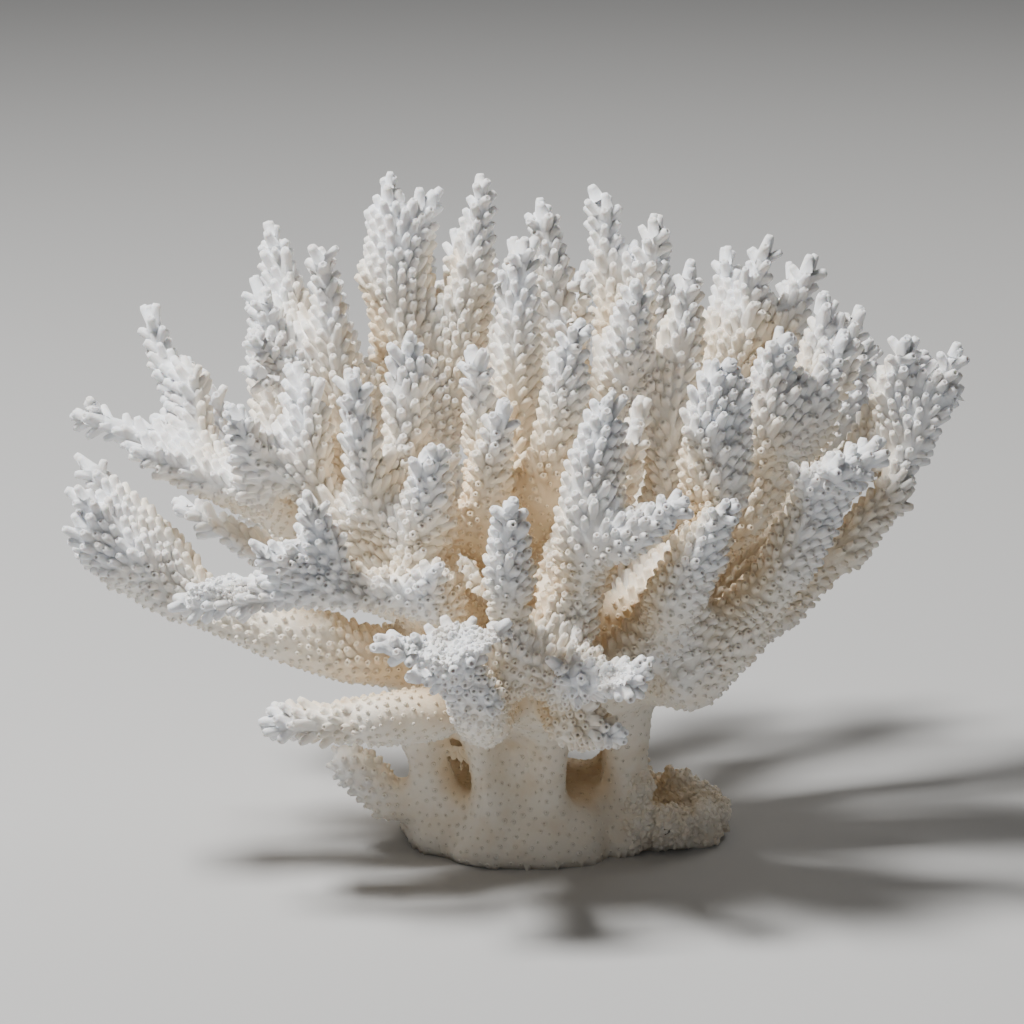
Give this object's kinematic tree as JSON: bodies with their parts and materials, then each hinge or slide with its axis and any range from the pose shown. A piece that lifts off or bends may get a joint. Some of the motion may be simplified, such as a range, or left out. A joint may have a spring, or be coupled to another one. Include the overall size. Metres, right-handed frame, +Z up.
{
  "type": "branching coral",
  "caption": "Bleached branching coral colony: a low foot cut flat, short stems, and limbs of upright fingers covered with small tubular cups.",
  "frame": {"origin": "on the flat cut face of the foot, below the middle of the crown", "axes": "+Z up from the cut face, +X along the crown's longest width to the viewer's right, -Y towards the side that the picture shows"},
  "size_m": [0.2271, 0.1816, 0.172],
  "materials": {
    "skeleton": "matt, dry, finely porous; bluish white at the tips and cream in the depths"
  },
  "bodies": {
    "root": {"hub": "skeleton", "foot": "skeleton", "left_low_limb": "skeleton", "left_mid_limb": "skeleton", "front_left_bar": "skeleton", "left_high_limb": "skeleton", "left_back_limb": "skeleton", "front_left_limb": "skeleton", "back_left_limb": "skeleton", "centre_limb": "skeleton", "back_right_limb": "skeleton", "right_back_limb": "skeleton", "right_high_limb": "skeleton", "right_far_limb": "skeleton", "right_outer_limb": "skeleton", "right_low_limb": "skeleton", "right_mid_limb": "skeleton", "front_right_limb": "skeleton", "front_limb": "skeleton", "front_stub": "skeleton", "front_low_limb": "skeleton", "front_right_stub": "skeleton", "rear_left_limb": "skeleton", "rear_mid_left_limb": "skeleton", "rear_limb": "skeleton", "rear_mid_right_limb": "skeleton", "rear_right_limb": "skeleton"}
  },
  "joints": []
}
